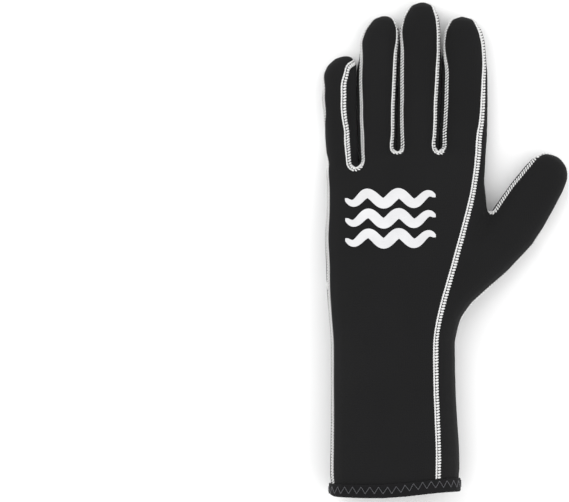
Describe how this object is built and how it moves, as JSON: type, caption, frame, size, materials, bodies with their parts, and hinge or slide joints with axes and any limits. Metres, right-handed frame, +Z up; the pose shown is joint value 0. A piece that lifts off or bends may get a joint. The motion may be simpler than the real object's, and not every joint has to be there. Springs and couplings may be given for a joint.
{
  "type": "diving glove",
  "caption": "Long-cuffed five-finger neoprene diving glove for the left hand, sewn from panels, hollow, with a bound cuff, lying palm down.",
  "frame": {"origin": "on the surface that the glove lies on, under the middle of its bounding box", "axes": "+Y from the cuff to the fingertips, +X to the thumb's side, +Z up out of the back of the hand"},
  "size_m": [0.1538, 0.3102, 0.0483],
  "materials": {
    "knit": "matte black knit over foam rubber",
    "palm_knit": "matte dark grey knit over foam rubber",
    "tape": "smooth black binding tape"
  },
  "bodies": {
    "root": {"back_panel": "knit", "palm_panel": "palm_knit", "wrist_panel": "knit", "little_side_wall": "knit", "little_ring_fourchette": "knit", "ring_middle_fourchette": "knit", "middle_index_fourchette": "knit", "thumb_side_panel": "knit", "cuff_binding": "tape"}
  },
  "joints": []
}
